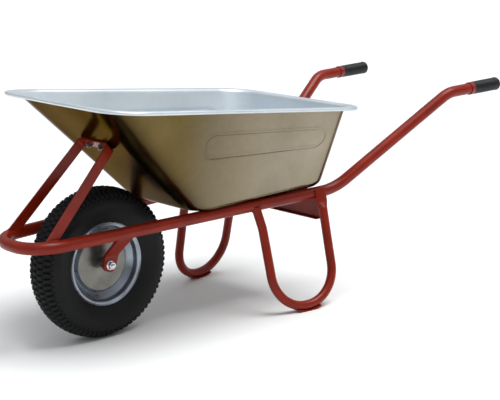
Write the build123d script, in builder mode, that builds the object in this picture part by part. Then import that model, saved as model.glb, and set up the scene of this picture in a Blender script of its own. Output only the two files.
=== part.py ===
from build123d import *
import math
import os

# A single-wheel builder's barrow: bent tube frame, sheet steel tray, pneumatic wheel.
# Millimetres. +X points forwards (wheel end), +Y to the user's left, +Z up.
# The origin is on the floor, midway between the ends of the grips and the nose of the frame.

# ---- wheel -------------------------------------------------------------------------
wheel_radius = 200.0
tyre_width = 100.0
tyre_wall = 7.0
bead_seat_radius = 101.6  # 8 inch rim
rim_inside_width = 62.8  # between the flanges
rim_flange_height = 10.0
rim_sheet = 2.0
disc_half_spacing = 14.5  # centre of the wheel to each disc
disc_radius = 74.0
hub_outer_radius = 13.0
hub_inner_radius = 10.0
hub_length = 86.0
bush_length = 24.0
bush_flange = 1.5
running_gap = 0.05  # radial, bush on axle
end_gap = 0.15  # each side, bush against washer

# ---- axle --------------------------------------------------------------------------
axle_radius = 6.0  # M12
axle_hole_radius = 6.4
washer_radius = 12.0
washer_thickness = 2.2
axle_hex = 18.0  # across flats
axle_nut_height = 12.0
axle_head_height = 8.0
axle_flange_radius = 12.8
axle_flange_height = 2.4
axle_thread_end = 3.0  # length of thread that shows past the nut

# ---- frame tube --------------------------------------------------------------------
tube_radius = 16.0
tube_wall = 1.5
nose_reach = 258.0  # forwards of the axle, tube centre
nose_half_width = 95.0
nose_height = 293.5
nose_bend = 90.0
junction_reach = 697.0  # behind the axle, where the tube turns up to the handle
junction_half_width = 167.0
junction_height = 302.5
junction_bend = 150.0
grip_bend_reach = 1062.0
grip_bend_half_width = 269.0
grip_bend_height = 540.0
grip_bend = 80.0
grip_rise = 1.0  # per 100 of length
grip_splay = 2.0  # per 100 of length
handle_length = 205.0  # grip bend to the tube's end

# ---- grips -------------------------------------------------------------------------
collar_start = 86.0  # from the grip bend
collar_length = 15.0
collar_wall = 2.2
grip_length = 107.0
grip_wall = 2.4
grip_lip = 0.8
grip_lip_length = 7.0

# ---- legs --------------------------------------------------------------------------
leg_radius = 12.5
leg_wall = 1.5
leg_front_reach = 413.0
leg_rear_reach = 629.0
leg_splay = 13.2  # degrees
leg_bottom_spacing = 199.0
leg_bottom_shift = 6.5  # its middle behind the uprights' middle
leg_kink_drop = 66.0  # where the front upright turns in to meet the tube
leg_kink = 9.0
leg_kink_bend = 120.0
leg_bend = 98.0
leg_front_offset = 8.0  # front upright's axis outside the tube's
leg_front_drop = 4.0  # its end below the tube's axis
lap_thickness = 7.0
lap_width = 36.0
lap_start = 40.0  # below the tube's axis
lap_end = 15.0  # above it
shoe_width = 24.0
shoe_thickness = 4.0
shoe_worn = 1.0  # depth of the flat that stands on the floor
shoe_length = 76.0
shoe_shift = 1.0  # its middle behind the lowest point

# ---- axle brackets -----------------------------------------------------------------
bracket_sheet = 3.5
bracket_end_radius = 19.0
bracket_top_width = 54.0
bracket_lean = 27.0  # top's centre behind the axle
bracket_flange = 8.0
bracket_pad_height = 24.0  # flat part above the axle
bracket_fold = 8.0

# ---- front brace -------------------------------------------------------------------
brace_bar_width = 28.0
brace_bar_thickness = 5.0
brace_foot_reach = 210.0
brace_foot_half_width = 88.0
brace_top_half_width = 62.0
brace_bend = 12.0

# ---- tray --------------------------------------------------------------------------
tray_sheet = 1.0
tray_bottom_front = 208.0  # behind the axle
tray_bottom_rear = 672.0
tray_bottom_half_front = 160.0
tray_bottom_half_rear = 170.0
tray_bottom_corner_front = 62.0
tray_bottom_corner_rear = 62.0
tray_bottom_fillet = 32.0
tray_rim_front = 119.0  # forwards of the axle, along the rolled edge's middle
tray_rim_rear = 731.0
tray_rim_half_front = 281.0
tray_rim_half_rear = 272.0
tray_rim_corner_front = 101.0
tray_rim_corner_rear = 84.0
tray_rim_front_height = 640.0
tray_rim_rear_height = 541.0
tray_wall_corner_front = 128.0  # of the walls, where they meet the ledge
tray_wall_corner_rear = 76.0
ledge_front = 8.0  # walls to the rolled edge's middle
ledge_side = 22.0
ledge_rear = 24.0
rim_bead_radius = 4.6
rim_bead_wall = 1.1
rim_wire_radius = 3.2

# ---- cross panel -------------------------------------------------------------------
panel_sheet = 2.5
panel_reach = 635.0
panel_bottom_height = 227.0
panel_flange = 30.0
panel_flange_half = 122.0
panel_lip = 12.0

# ---- tray bolts (M8) ---------------------------------------------------------------
bolt_radius = 4.0
bolt_hole_radius = 4.4
bolt_head_radius = 9.5
bolt_head_height = 4.2
bolt_washer_radius = 8.5
bolt_washer_thickness = 1.6
bolt_hex = 13.0
bolt_nut_height = 6.5
bolt_thread_end = 4.0
front_bolt_half_spacing = 25.0
rear_bolt_half_spacing = 90.0

# ---- valve -------------------------------------------------------------------------
valve_radius = 4.2
valve_hole_radius = 4.6
valve_length = 30.0
valve_cap_radius = 4.0
valve_cap_length = 11.0
valve_angle = 139.0  # from forwards, turning up

weld_gap = 0.05
fit_gap = 0.1

# ---- places worked out from the sizes above ------------------------------------------
front_end = nose_reach + tube_radius
handle_direction = Vector(-100.0, grip_splay, grip_rise).normalized()
grip_end_distance = collar_start + collar_length + grip_length
rear_end = grip_bend_reach - handle_direction.X * grip_end_distance
axle_x = (rear_end - front_end) / 2
axle = Vector(axle_x, 0, wheel_radius)
axle_line = Axis(axle, (0, 1, 0))
# wheel sections: local x runs across the wheel, local y outwards from the axle
wheel_section = Plane(origin=axle, x_dir=(0, 1, 0), z_dir=(1, 0, 0))


def run_share(reach):
    """How far a place lies along the tube's lower run, from the nose (0) to the junction (1)."""
    return (nose_reach + reach) / (nose_reach + junction_reach)


def tube_half_width(reach):
    return nose_half_width + run_share(reach) * (junction_half_width - nose_half_width)


def tube_height(reach):
    return nose_height + run_share(reach) * (junction_height - nose_height)


def behind_axle(reach, y, z):
    return Vector(axle_x - reach, y, z)


# ---- frame tube --------------------------------------------------------------------
grip_bend_point = behind_axle(grip_bend_reach, grip_bend_half_width, grip_bend_height)
handle_end = grip_bend_point + handle_direction * handle_length
left_points = [
    handle_end,
    grip_bend_point,
    behind_axle(junction_reach, junction_half_width, junction_height),
    behind_axle(-nose_reach, nose_half_width, nose_height),
]
right_points = [Vector(p.X, -p.Y, p.Z) for p in reversed(left_points)]
tube_bends = [grip_bend, junction_bend, nose_bend]

with BuildLine() as tube_path:
    FilletPolyline(*left_points, *right_points, radius=tube_bends + tube_bends[::-1])

tube_start = Plane(origin=tube_path.wire() @ 0, z_dir=tube_path.wire() % 0)

with BuildPart() as frame_tube:
    with BuildSketch(tube_start):
        Circle(tube_radius)
        Circle(tube_radius - tube_wall, mode=Mode.SUBTRACT)
    sweep(path=tube_path.wire())
frame_tube.part.label = "frame_tube"

# the tube's outside as a solid, used to cope the members that meet it
with BuildPart() as tube_blank:
    with BuildSketch(tube_start):
        Circle(tube_radius + weld_gap)
    sweep(path=tube_path.wire())

# ---- legs --------------------------------------------------------------------------
lap_offset = (tube_radius + weld_gap + lap_thickness / 2) / math.cos(math.radians(leg_splay))
leg_rear_point = behind_axle(
    leg_rear_reach,
    tube_half_width(leg_rear_reach) + lap_offset,
    tube_height(leg_rear_reach),
)
leg_front_point = behind_axle(
    leg_front_reach,
    tube_half_width(leg_front_reach) + leg_front_offset,
    tube_height(leg_front_reach),
)
leg_along = (leg_front_point - leg_rear_point).normalized()
leg_up = Vector(0, -math.tan(math.radians(leg_splay)), 1)
# the leg's own plane: local x forwards along the leg, local y up it
leg_plane = Plane(
    origin=(leg_front_point + leg_rear_point) / 2,
    x_dir=leg_along,
    z_dir=leg_along.cross(leg_up),
)
leg_top_half = (leg_front_point - leg_rear_point).length / 2
leg_bottom_height = leg_radius + shoe_thickness - shoe_worn
leg_depth = (leg_plane.origin.Z - leg_bottom_height) / leg_plane.y_dir.Z
leg_bottom_front = leg_bottom_spacing / 2 - leg_bottom_shift
leg_taper = (leg_top_half - leg_kink - leg_bottom_front) * leg_kink_drop / leg_depth

with BuildLine(leg_plane) as leg_path:
    FilletPolyline(
        (leg_top_half, -leg_front_drop),
        (leg_top_half - leg_kink - leg_taper, -leg_kink_drop),
        (leg_bottom_front, -leg_depth),
        (leg_bottom_front - leg_bottom_spacing, -leg_depth),
        (-leg_top_half, -lap_start),
        radius=[leg_kink_bend, leg_bend, leg_bend],
    )
leg_start = Plane(origin=leg_path.wire() @ 0, z_dir=leg_path.wire() % 0)
lap_plane = Plane(
    origin=leg_path.wire() @ 1, x_dir=leg_plane.x_dir, z_dir=leg_path.wire() % 1
)
lap_length = lap_start + lap_end
lap_flat = lap_length - 16.0

with BuildPart() as left_leg:
    with BuildSketch(leg_start):
        Circle(leg_radius)
        Circle(leg_radius - leg_wall, mode=Mode.SUBTRACT)
    sweep(path=leg_path.wire())
    with BuildSketch(lap_plane):
        Ellipse(leg_radius, leg_radius)
    with BuildSketch(lap_plane.offset(lap_length - lap_flat)):
        Ellipse(lap_width / 2, lap_thickness / 2)
    loft()
    with BuildSketch(lap_plane.offset(lap_length - lap_flat)):
        Ellipse(lap_width / 2, lap_thickness / 2)
    extrude(amount=lap_flat)
    add(tube_blank.part, mode=Mode.SUBTRACT)
left_leg.part.label = "left_leg"

with BuildPart() as leg_blank:
    with BuildSketch(leg_start):
        Circle(leg_radius + weld_gap)
    sweep(path=leg_path.wire())

# ---- foot shoes --------------------------------------------------------------------
shoe_along = Vector(leg_along.X, leg_along.Y, 0).normalized()
shoe_centre = Vector(
    leg_plane.from_local_coords((leg_bottom_front - leg_bottom_spacing / 2, -leg_depth))
)
shoe_outer = leg_bend + leg_radius + shoe_thickness
shoe_plane = Plane(
    origin=(shoe_centre.X, shoe_centre.Y, shoe_outer - shoe_worn),
    x_dir=shoe_along,
    z_dir=shoe_along.cross(Vector(0, 0, 1)),
)

with BuildPart() as left_foot_shoe:
    with BuildSketch(shoe_plane):
        Circle(shoe_outer)
        Circle(shoe_outer - shoe_thickness, mode=Mode.SUBTRACT)
        with Locations((-shoe_shift, -shoe_outer)):
            Rectangle(shoe_length, shoe_outer, mode=Mode.INTERSECT)
        with Locations((0, -shoe_outer)):
            Rectangle(shoe_length, 2 * shoe_worn, mode=Mode.SUBTRACT)
    extrude(amount=shoe_width / 2, both=True)
    add(leg_blank.part, mode=Mode.SUBTRACT)
left_foot_shoe.part.label = "left_foot_shoe"

# ---- axle brackets -----------------------------------------------------------------
hub_half = hub_length / 2
bush_face = hub_half + bush_flange
washer_face = bush_face + end_gap
bracket_face = washer_face + washer_thickness + fit_gap
bracket_outer_face = bracket_face + bracket_sheet
bracket_top = tube_height(bracket_lean) - wheel_radius
bracket_tube_offset = tube_half_width(bracket_lean)
bracket_side = Plane(origin=axle, x_dir=(1, 0, 0), z_dir=(0, -1, 0))


def bracket_outline(inset):
    with Locations((0, 0)):
        Circle(bracket_end_radius - inset)
    with Locations((-bracket_lean, bracket_top)):
        Rectangle(bracket_top_width - 2 * inset, 1.0)
    make_hull()


def bracket_fold_line(inwards):
    """The bracket's fold, seen from the front: a flat pad at the axle, then out to the tube."""
    face = bracket_outer_face - inwards
    return FilletPolyline(
        (face, -bracket_end_radius - 1.0),
        (face, bracket_pad_height),
        (bracket_tube_offset - inwards, bracket_top + 1.0),
        radius=bracket_fold,
    )


def bracket_layer(inset, outer, inner):
    """The part of the bracket's outline that lies between two depths inside its outer face."""
    with BuildPart() as layer:
        with BuildSketch(bracket_side):
            bracket_outline(inset)
        extrude(amount=-2 * bracket_tube_offset)
        with BuildSketch(wheel_section.offset(-2 * bracket_top_width)):
            with BuildLine():
                near = bracket_fold_line(outer)
                far = bracket_fold_line(inner)
                Line(near @ 0, far @ 0)
                Line(near @ 1, far @ 1)
            make_face()
        extrude(amount=4 * bracket_top_width, mode=Mode.INTERSECT)
    return layer.part


bracket_depth = bracket_sheet + bracket_flange

with BuildPart() as left_axle_bracket:
    add(bracket_layer(0.0, 0.0, bracket_depth))
    add(bracket_layer(bracket_sheet, bracket_sheet, bracket_depth + 1.0), mode=Mode.SUBTRACT)
    add(tube_blank.part, mode=Mode.SUBTRACT)
    with BuildSketch(bracket_side):
        Circle(axle_hole_radius)
    extrude(amount=-2 * bracket_tube_offset, mode=Mode.SUBTRACT)
left_axle_bracket.part.label = "left_axle_bracket"

# ---- axle --------------------------------------------------------------------------
nut_face = bracket_outer_face + fit_gap
left_face_plane = Plane(origin=axle + Vector(0, nut_face, 0), x_dir=(1, 0, 0), z_dir=(0, 1, 0))
right_face_plane = Plane(
    origin=axle - Vector(0, nut_face, 0), x_dir=(1, 0, 0), z_dir=(0, -1, 0)
)
axle_left_end = nut_face + axle_nut_height + axle_thread_end

with BuildPart() as axle_bolt:
    with BuildSketch(right_face_plane):
        Circle(axle_radius)
    extrude(amount=-(nut_face + axle_left_end))
    chamfer(axle_bolt.edges().sort_by(Axis.Y)[-1], length=1.0)
    with BuildSketch(right_face_plane):
        Circle(axle_flange_radius)
    extrude(amount=axle_flange_height)
    with BuildSketch(right_face_plane):
        RegularPolygon(axle_hex / 2, 6, major_radius=False)
    extrude(amount=axle_head_height)
axle_bolt.part.label = "axle_bolt"

with BuildPart() as axle_nut:
    with BuildSketch(left_face_plane):
        Circle(axle_flange_radius)
    extrude(amount=axle_flange_height)
    with BuildSketch(left_face_plane):
        RegularPolygon(axle_hex / 2, 6, major_radius=False)
    extrude(amount=axle_nut_height)
    with BuildSketch(left_face_plane):
        Circle(axle_radius + running_gap)
    extrude(amount=axle_nut_height, mode=Mode.SUBTRACT)
axle_nut.part.label = "axle_nut"

with BuildPart() as axle_washers:
    for side in (1, -1):
        inner_face = Plane(
            origin=axle + Vector(0, side * washer_face, 0), x_dir=(1, 0, 0), z_dir=(0, side, 0)
        )
        with BuildSketch(inner_face):
            Circle(washer_radius)
            Circle(axle_hole_radius, mode=Mode.SUBTRACT)
        extrude(amount=washer_thickness)
axle_washers.part.label = "axle_washers"

# ---- wheel: tyre and inner tube ------------------------------------------------------
tyre_half = tyre_width / 2
tyre_foot = bead_seat_radius + 0.4  # bead on its seat
bead_face = rim_inside_width / 2 - 0.4
flange_top = bead_seat_radius + rim_flange_height
belt = tyre_half * 0.56
crown_radius = 110.0
crown_slope = math.asin(belt / crown_radius)
crown_drop = crown_radius * (1 - math.cos(crown_slope))

with BuildPart() as tyre:
    with BuildSketch(wheel_section):
        with BuildLine():
            RadiusArc((0, wheel_radius), (belt, wheel_radius - crown_drop), crown_radius)
            Spline(
                (belt, wheel_radius - crown_drop),
                (tyre_half - 7.5, wheel_radius - 20.0),
                (tyre_half, wheel_radius - 44.0),
                (tyre_half - 6.5, flange_top + 19.0),
                (bead_face + 3.6, flange_top + 2.4),
                tangents=((math.cos(crown_slope), -math.sin(crown_slope)), (-0.6, -1)),
            )
            Polyline(
                (bead_face + 3.6, flange_top + 2.4),
                (bead_face, flange_top),
                (bead_face, tyre_foot + 2.0),
                (bead_face - 2.0, tyre_foot),
                (bead_face - 12.0, tyre_foot),
            )
            Spline(
                (bead_face - 12.0, tyre_foot),
                (bead_face - 4.0, flange_top + 6.0),
                (tyre_half - tyre_wall, wheel_radius - 46.0),
                (belt, wheel_radius - tyre_wall - 9.0),
                (0, wheel_radius - tyre_wall - 1.0),
                tangents=((0.2, 1), (-1, 0)),
            )
            mirror(about=Plane.YZ)
        make_face()
    revolve(axis=axle_line)
tyre.part.label = "tyre"

inner_tube_top = wheel_radius - tyre_wall - 1.6
inner_tube_bottom = bead_seat_radius + 0.6
inner_tube_radius = (inner_tube_top + inner_tube_bottom) / 2
inner_tube_half_height = (inner_tube_top - inner_tube_bottom) / 2
inner_tube_half_width = tyre_half - tyre_wall - 8.0
inner_tube_wall = 1.5

with BuildPart() as inner_tube:
    with BuildSketch(wheel_section):
        with Locations((0, inner_tube_radius)):
            Ellipse(inner_tube_half_width, inner_tube_half_height)
            Ellipse(
                inner_tube_half_width - inner_tube_wall,
                inner_tube_half_height - inner_tube_wall,
                mode=Mode.SUBTRACT,
            )
    revolve(axis=axle_line)
inner_tube.part.label = "inner_tube"

with BuildPart() as inner_tube_blank:
    with BuildSketch(wheel_section):
        with Locations((0, inner_tube_radius)):
            Ellipse(inner_tube_half_width + weld_gap, inner_tube_half_height + weld_gap)
    revolve(axis=axle_line)

# ---- wheel: pressed rim halves -------------------------------------------------------
seat_line = bead_seat_radius - rim_sheet / 2
flange_line = rim_inside_width / 2 + rim_sheet / 2
well_top = Vector(flange_line - 16.0, seat_line - 1.0)
well_wall = Vector(flange_line - 24.0, seat_line - 11.0)
groove = Vector(rim_sheet + 0.6, disc_radius + 8.5)
valve_seat = (well_top + well_wall) / 2
valve_out = Vector(well_top.Y - well_wall.Y, well_wall.X - well_top.X).normalized()
valve_turn = math.radians(valve_angle)
valve_radial = Vector(math.cos(valve_turn), 0, math.sin(valve_turn))
valve_axis = Vector(0, valve_out.X, 0) + valve_radial * valve_out.Y
valve_origin = axle + Vector(0, valve_seat.X, 0) + valve_radial * valve_seat.Y
valve_plane = Plane(origin=valve_origin, z_dir=valve_axis)

with BuildPart() as right_rim_half:
    with BuildSketch(wheel_section):
        with BuildLine():
            FilletPolyline(
                (-flange_line - 2.6, seat_line + rim_flange_height),
                (-flange_line, seat_line + rim_flange_height - 3.5),
                (-flange_line, seat_line),
                (-well_top.X, well_top.Y),
                (-well_wall.X, well_wall.Y),
                (-groove.X, groove.Y),
                (-disc_half_spacing, disc_radius),
                (-disc_half_spacing, hub_outer_radius + weld_gap),
                radius=[2.0, 3.0, 4.0, 3.0, 2.0, 4.0],
            )
        trace(line_width=rim_sheet)
    revolve(axis=axle_line)
right_rim_half.part.label = "right_rim_half"

with BuildPart() as left_rim_half:
    mirror(right_rim_half.part, about=Plane.XZ)
    with BuildSketch(valve_plane.offset(-2 * rim_sheet)):
        Circle(valve_hole_radius)
    extrude(amount=4 * rim_sheet, mode=Mode.SUBTRACT)
left_rim_half.part.label = "left_rim_half"

with BuildPart() as valve_stem:
    with BuildSketch(valve_plane.offset(-16.0)):
        Circle(valve_radius)
    extrude(amount=16.0 + valve_length - valve_cap_length)
    with BuildSketch(valve_plane.offset(valve_length - valve_cap_length)):
        Circle(valve_radius * 0.6)
    extrude(amount=valve_cap_length - 2.0)
    add(inner_tube_blank.part, mode=Mode.SUBTRACT)
valve_stem.part.label = "valve_stem"

with BuildPart() as valve_cap:
    with BuildSketch(valve_plane.offset(valve_length - valve_cap_length + fit_gap)):
        Circle(valve_cap_radius)
    extrude(amount=valve_cap_length)
    with BuildSketch(valve_plane.offset(valve_length - valve_cap_length)):
        Circle(valve_radius * 0.6 + fit_gap)
    extrude(amount=valve_cap_length - 1.5, mode=Mode.SUBTRACT)
    fillet(valve_cap.edges().filter_by(GeomType.CIRCLE).group_by(SortBy.RADIUS)[-1], 0.8)
valve_cap.part.label = "valve_cap"

# ---- wheel: hub and bushes -----------------------------------------------------------
with BuildPart() as hub_tube:
    with BuildSketch(wheel_section):
        with Locations((0, (hub_outer_radius + hub_inner_radius) / 2)):
            Rectangle(hub_length, hub_outer_radius - hub_inner_radius)
    revolve(axis=axle_line)
hub_tube.part.label = "hub_tube"


def bush(side):
    """A flanged plain bush, in the hub's end on the given side."""
    bore = axle_radius + running_gap
    body = hub_inner_radius - weld_gap
    with BuildPart() as made:
        with BuildSketch(wheel_section):
            with BuildLine():
                Polyline(
                    (side * (hub_half - bush_length), bore),
                    (side * bush_face, bore),
                    (side * bush_face, hub_outer_radius),
                    (side * (hub_half + weld_gap), hub_outer_radius),
                    (side * (hub_half + weld_gap), body),
                    (side * (hub_half - bush_length), body),
                    close=True,
                )
            make_face()
        revolve(axis=axle_line)
    return made.part


left_bush = bush(1)
left_bush.label = "left_bush"
right_bush = bush(-1)
right_bush.label = "right_bush"

# ---- tray --------------------------------------------------------------------------
tray_floor_gap = tube_radius + fit_gap


def floor_height(reach):
    return tube_height(reach) + tray_floor_gap


floor_front = behind_axle(tray_bottom_front, 0, floor_height(tray_bottom_front))
floor_rear = behind_axle(tray_bottom_rear, 0, floor_height(tray_bottom_rear))
rim_front = behind_axle(-tray_rim_front, 0, tray_rim_front_height)
rim_rear = behind_axle(tray_rim_rear, 0, tray_rim_rear_height)


def plane_between(rear, front):
    """A plane through two points on the centre line: local x forwards, local y to the left."""
    along = (front - rear).normalized()
    return Plane(origin=(rear + front) / 2, x_dir=along, z_dir=along.cross(Vector(0, 1, 0)))


floor_plane = plane_between(floor_rear, floor_front)
rim_plane = plane_between(rim_rear, rim_front)
floor_half_length = (floor_front - floor_rear).length / 2
rim_half_length = (rim_front - rim_rear).length / 2


def tray_outline(front, rear, half_front, half_rear, corner_front, corner_rear, grow):
    """A rounded outline that is a little wider at one end, grown outwards by the given amount."""
    return FilletPolyline(
        (front + grow, half_front + grow),
        (-rear - grow, half_rear + grow),
        (-rear - grow, -half_rear - grow),
        (front + grow, -half_front - grow),
        radius=[
            corner_front + grow,
            corner_rear + grow,
            corner_rear + grow,
            corner_front + grow,
        ],
        close=True,
    )


def floor_outline(grow):
    return tray_outline(
        floor_half_length,
        floor_half_length,
        tray_bottom_half_front,
        tray_bottom_half_rear,
        tray_bottom_corner_front,
        tray_bottom_corner_rear,
        grow,
    )


def wall_outline(grow):
    return tray_outline(
        rim_half_length - ledge_front,
        rim_half_length - ledge_rear,
        tray_rim_half_front - ledge_side,
        tray_rim_half_rear - ledge_side,
        tray_wall_corner_front,
        tray_wall_corner_rear,
        grow,
    )


def edge_outline():
    return tray_outline(
        rim_half_length,
        rim_half_length,
        tray_rim_half_front,
        tray_rim_half_rear,
        tray_rim_corner_front,
        tray_rim_corner_rear,
        0.0,
    )


def tray_form(floor_lift, floor_grow, rim_grow, fillet_radius):
    """The tray's shape as a solid block, before it is hollowed."""
    with BuildPart() as form:
        with BuildSketch(floor_plane.offset(floor_lift)):
            with BuildLine():
                floor_outline(floor_grow)
            make_face()
        with BuildSketch(rim_plane):
            with BuildLine():
                wall_outline(rim_grow)
            make_face()
        loft(ruled=True)
        lowest = form.faces().sort_by(Axis.Z)[0]
        fillet(lowest.edges(), fillet_radius)
    return form.part


bead_plane = rim_plane.offset(-rim_bead_radius)
with BuildLine(bead_plane) as bead_path:
    edge_outline()
bead_start = Plane(origin=bead_path.wire() @ 0, z_dir=bead_path.wire() % 0)

# bolts go through the tray along these planes: local z points out of the tray
wall_top = rim_front - rim_plane.x_dir * ledge_front
wall_slope = (wall_top - floor_front).normalized()
wall_out = wall_slope.cross(Vector(0, -1, 0))
brace_foot = behind_axle(-brace_foot_reach, 0, tube_height(-brace_foot_reach))
brace_reach = (floor_front - brace_foot).dot(wall_out)
wall_point = brace_foot + wall_out * brace_reach
rear_bolt_reach = panel_reach - panel_flange / 2 - panel_sheet / 2
rear_bolt_point = behind_axle(rear_bolt_reach, 0, floor_height(rear_bolt_reach))
bolt_planes = []
for side in (1, -1):
    bolt_planes.append(
        Plane(
            origin=wall_point + Vector(0, side * front_bolt_half_spacing, 0),
            x_dir=(0, 1, 0),
            z_dir=wall_out,
        )
    )
for side in (1, -1):
    bolt_planes.append(
        Plane(
            origin=rear_bolt_point + Vector(0, side * rear_bolt_half_spacing, 0),
            x_dir=(0, 1, 0),
            z_dir=-floor_plane.z_dir,
        )
    )
bolt_backing = [brace_bar_thickness, brace_bar_thickness, panel_sheet, panel_sheet]

with BuildPart() as tray:
    add(tray_form(0.0, 0.0, 0.0, tray_bottom_fillet))
    add(
        tray_form(
            tray_sheet, -0.5 * tray_sheet, -1.3 * tray_sheet, tray_bottom_fillet - tray_sheet
        ),
        mode=Mode.SUBTRACT,
    )
    with BuildSketch(rim_plane.offset(-tray_sheet)):
        with BuildLine():
            edge_outline()
        make_face()
        with BuildLine():
            wall_outline(-1.3 * tray_sheet)
        make_face(mode=Mode.SUBTRACT)
    extrude(amount=tray_sheet)
    with BuildSketch(bead_start):
        Circle(rim_bead_radius)
        Circle(rim_bead_radius - rim_bead_wall, mode=Mode.SUBTRACT)
    sweep(path=bead_path.wire())
    for place in bolt_planes:
        with BuildSketch(place.offset(-3 * tray_sheet)):
            Circle(bolt_hole_radius)
        extrude(amount=6 * tray_sheet, mode=Mode.SUBTRACT)
tray.part.label = "tray"

with BuildPart() as rim_wire:
    with BuildSketch(bead_start):
        Circle(rim_wire_radius)
    sweep(path=bead_path.wire())
rim_wire.part.label = "rim_wire"

# ---- front brace -------------------------------------------------------------------
bar_middle = fit_gap + brace_bar_thickness / 2
# the brace's own plane: local x across, local y from the tray's wall out to the loop
brace_plane = Plane(
    origin=wall_point + wall_out * bar_middle,
    x_dir=(0, 1, 0),
    z_dir=Vector(0, 1, 0).cross(wall_out),
)
brace_length = -brace_reach - bar_middle

with BuildLine(brace_plane) as brace_path:
    FilletPolyline(
        (brace_foot_half_width, brace_length),
        (brace_top_half_width, 0),
        (-brace_top_half_width, 0),
        (-brace_foot_half_width, brace_length),
        radius=brace_bend,
    )
brace_start = Plane(
    origin=brace_path.wire() @ 0, x_dir=brace_plane.z_dir, z_dir=brace_path.wire() % 0
)

with BuildPart() as front_brace:
    with BuildSketch(brace_start):
        Rectangle(brace_bar_width, brace_bar_thickness)
    sweep(path=brace_path.wire())
    add(tube_blank.part, mode=Mode.SUBTRACT)
    for place in bolt_planes[:2]:
        with BuildSketch(place):
            Circle(bolt_hole_radius)
        extrude(amount=2 * brace_bar_thickness, mode=Mode.SUBTRACT)
front_brace.part.label = "front_brace"

# ---- cross panel -------------------------------------------------------------------
panel_face = Plane(
    origin=behind_axle(panel_reach, 0, 0), x_dir=(0, 1, 0), z_dir=(1, 0, 0)
)
panel_flange_top = floor_height(panel_reach) - fit_gap
shoulder_height = tube_height(panel_reach) - tube_radius
# a plane just under the tray's floor, at the panel
under_floor = Plane(
    origin=rear_bolt_point - floor_plane.z_dir * fit_gap,
    x_dir=floor_plane.x_dir,
    z_dir=-floor_plane.z_dir,
)


def leg_inside(height):
    """Half the distance between the rear uprights' axes at a height."""
    drop = leg_rear_point.Z - height
    return leg_rear_point.Y + drop * math.tan(math.radians(leg_splay))


with BuildPart() as cross_panel:
    with BuildSketch(panel_face.offset(-panel_sheet / 2)):
        with BuildLine():
            Polyline(
                (leg_inside(panel_bottom_height), panel_bottom_height),
                (leg_inside(shoulder_height), shoulder_height),
                (panel_flange_half, shoulder_height),
                (panel_flange_half, panel_flange_top),
                (-panel_flange_half, panel_flange_top),
                (-panel_flange_half, shoulder_height),
                (-leg_inside(shoulder_height), shoulder_height),
                (-leg_inside(panel_bottom_height), panel_bottom_height),
                close=True,
            )
        make_face()
    extrude(amount=panel_sheet)
    with BuildSketch(Plane.XY.offset(panel_bottom_height)):
        with Locations((axle_x - panel_reach + panel_lip / 2, 0)):
            Rectangle(panel_lip + panel_sheet, 2 * leg_inside(panel_bottom_height) - 60.0)
    extrude(amount=panel_sheet)
    with BuildSketch(under_floor):
        Rectangle(panel_flange + panel_sheet, 2 * panel_flange_half)
    extrude(amount=panel_sheet)
    for leg_solid in (left_leg.part, leg_blank.part):
        add(leg_solid, mode=Mode.SUBTRACT)
        add(mirror(leg_solid, about=Plane.XZ, mode=Mode.PRIVATE), mode=Mode.SUBTRACT)
    add(tube_blank.part, mode=Mode.SUBTRACT)
    for place in bolt_planes[2:]:
        with BuildSketch(place):
            Circle(bolt_hole_radius)
        extrude(amount=3 * panel_sheet, mode=Mode.SUBTRACT)
cross_panel.part.label = "cross_panel"

# ---- tray bolts, washers and nuts ----------------------------------------------------
with BuildPart() as tray_bolts:
    for place, backing in zip(bolt_planes, bolt_backing):
        stack = fit_gap + backing + bolt_washer_thickness + bolt_nut_height + bolt_thread_end
        with BuildSketch(place.offset(-tray_sheet - fit_gap - bolt_head_height)):
            Circle(bolt_head_radius * 0.55)
        with BuildSketch(place.offset(-tray_sheet - fit_gap)):
            Circle(bolt_head_radius)
        loft()
        with BuildSketch(place.offset(-tray_sheet - fit_gap)):
            Circle(bolt_radius)
        extrude(amount=tray_sheet + fit_gap + stack)
tray_bolts.part.label = "tray_bolts"

with BuildPart() as tray_washers:
    for place, backing in zip(bolt_planes, bolt_backing):
        with BuildSketch(place.offset(2 * fit_gap + backing)):
            Circle(bolt_washer_radius)
            Circle(bolt_hole_radius, mode=Mode.SUBTRACT)
        extrude(amount=bolt_washer_thickness)
tray_washers.part.label = "tray_washers"

with BuildPart() as tray_nuts:
    for place, backing in zip(bolt_planes, bolt_backing):
        with BuildSketch(place.offset(3 * fit_gap + backing + bolt_washer_thickness)):
            RegularPolygon(bolt_hex / 2, 6, major_radius=False)
            Circle(bolt_radius + weld_gap, mode=Mode.SUBTRACT)
        extrude(amount=bolt_nut_height)
tray_nuts.part.label = "tray_nuts"

# ---- grips and collars ---------------------------------------------------------------
collar_plane = Plane(
    origin=grip_bend_point + handle_direction * collar_start, z_dir=handle_direction
)
grip_plane = collar_plane.offset(collar_length)
handle_bore = tube_radius + weld_gap
tube_in_grip = handle_length - collar_start - collar_length
grip_bore_depth = tube_in_grip + fit_gap

with BuildPart() as left_grip_collar:
    with BuildSketch(collar_plane):
        Circle(handle_bore + collar_wall)
        Circle(handle_bore, mode=Mode.SUBTRACT)
    extrude(amount=collar_length - fit_gap)
left_grip_collar.part.label = "left_grip_collar"

with BuildPart() as left_grip:
    with BuildSketch(grip_plane):
        Circle(handle_bore + grip_wall)
    extrude(amount=grip_length)
    with BuildSketch(grip_plane.offset(grip_length - grip_lip_length)):
        Circle(handle_bore + grip_wall + grip_lip)
    extrude(amount=grip_lip_length)
    fillet(left_grip.edges().filter_by(GeomType.CIRCLE).sort_by(Axis.X)[0], grip_lip)
    with BuildSketch(grip_plane):
        Circle(handle_bore)
    extrude(amount=grip_bore_depth, mode=Mode.SUBTRACT)
left_grip.part.label = "left_grip"


# ---- the right-hand pieces -----------------------------------------------------------
def mirrored(part, label):
    with BuildPart() as other:
        mirror(part, about=Plane.XZ)
    other.part.label = label
    return other.part


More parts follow.
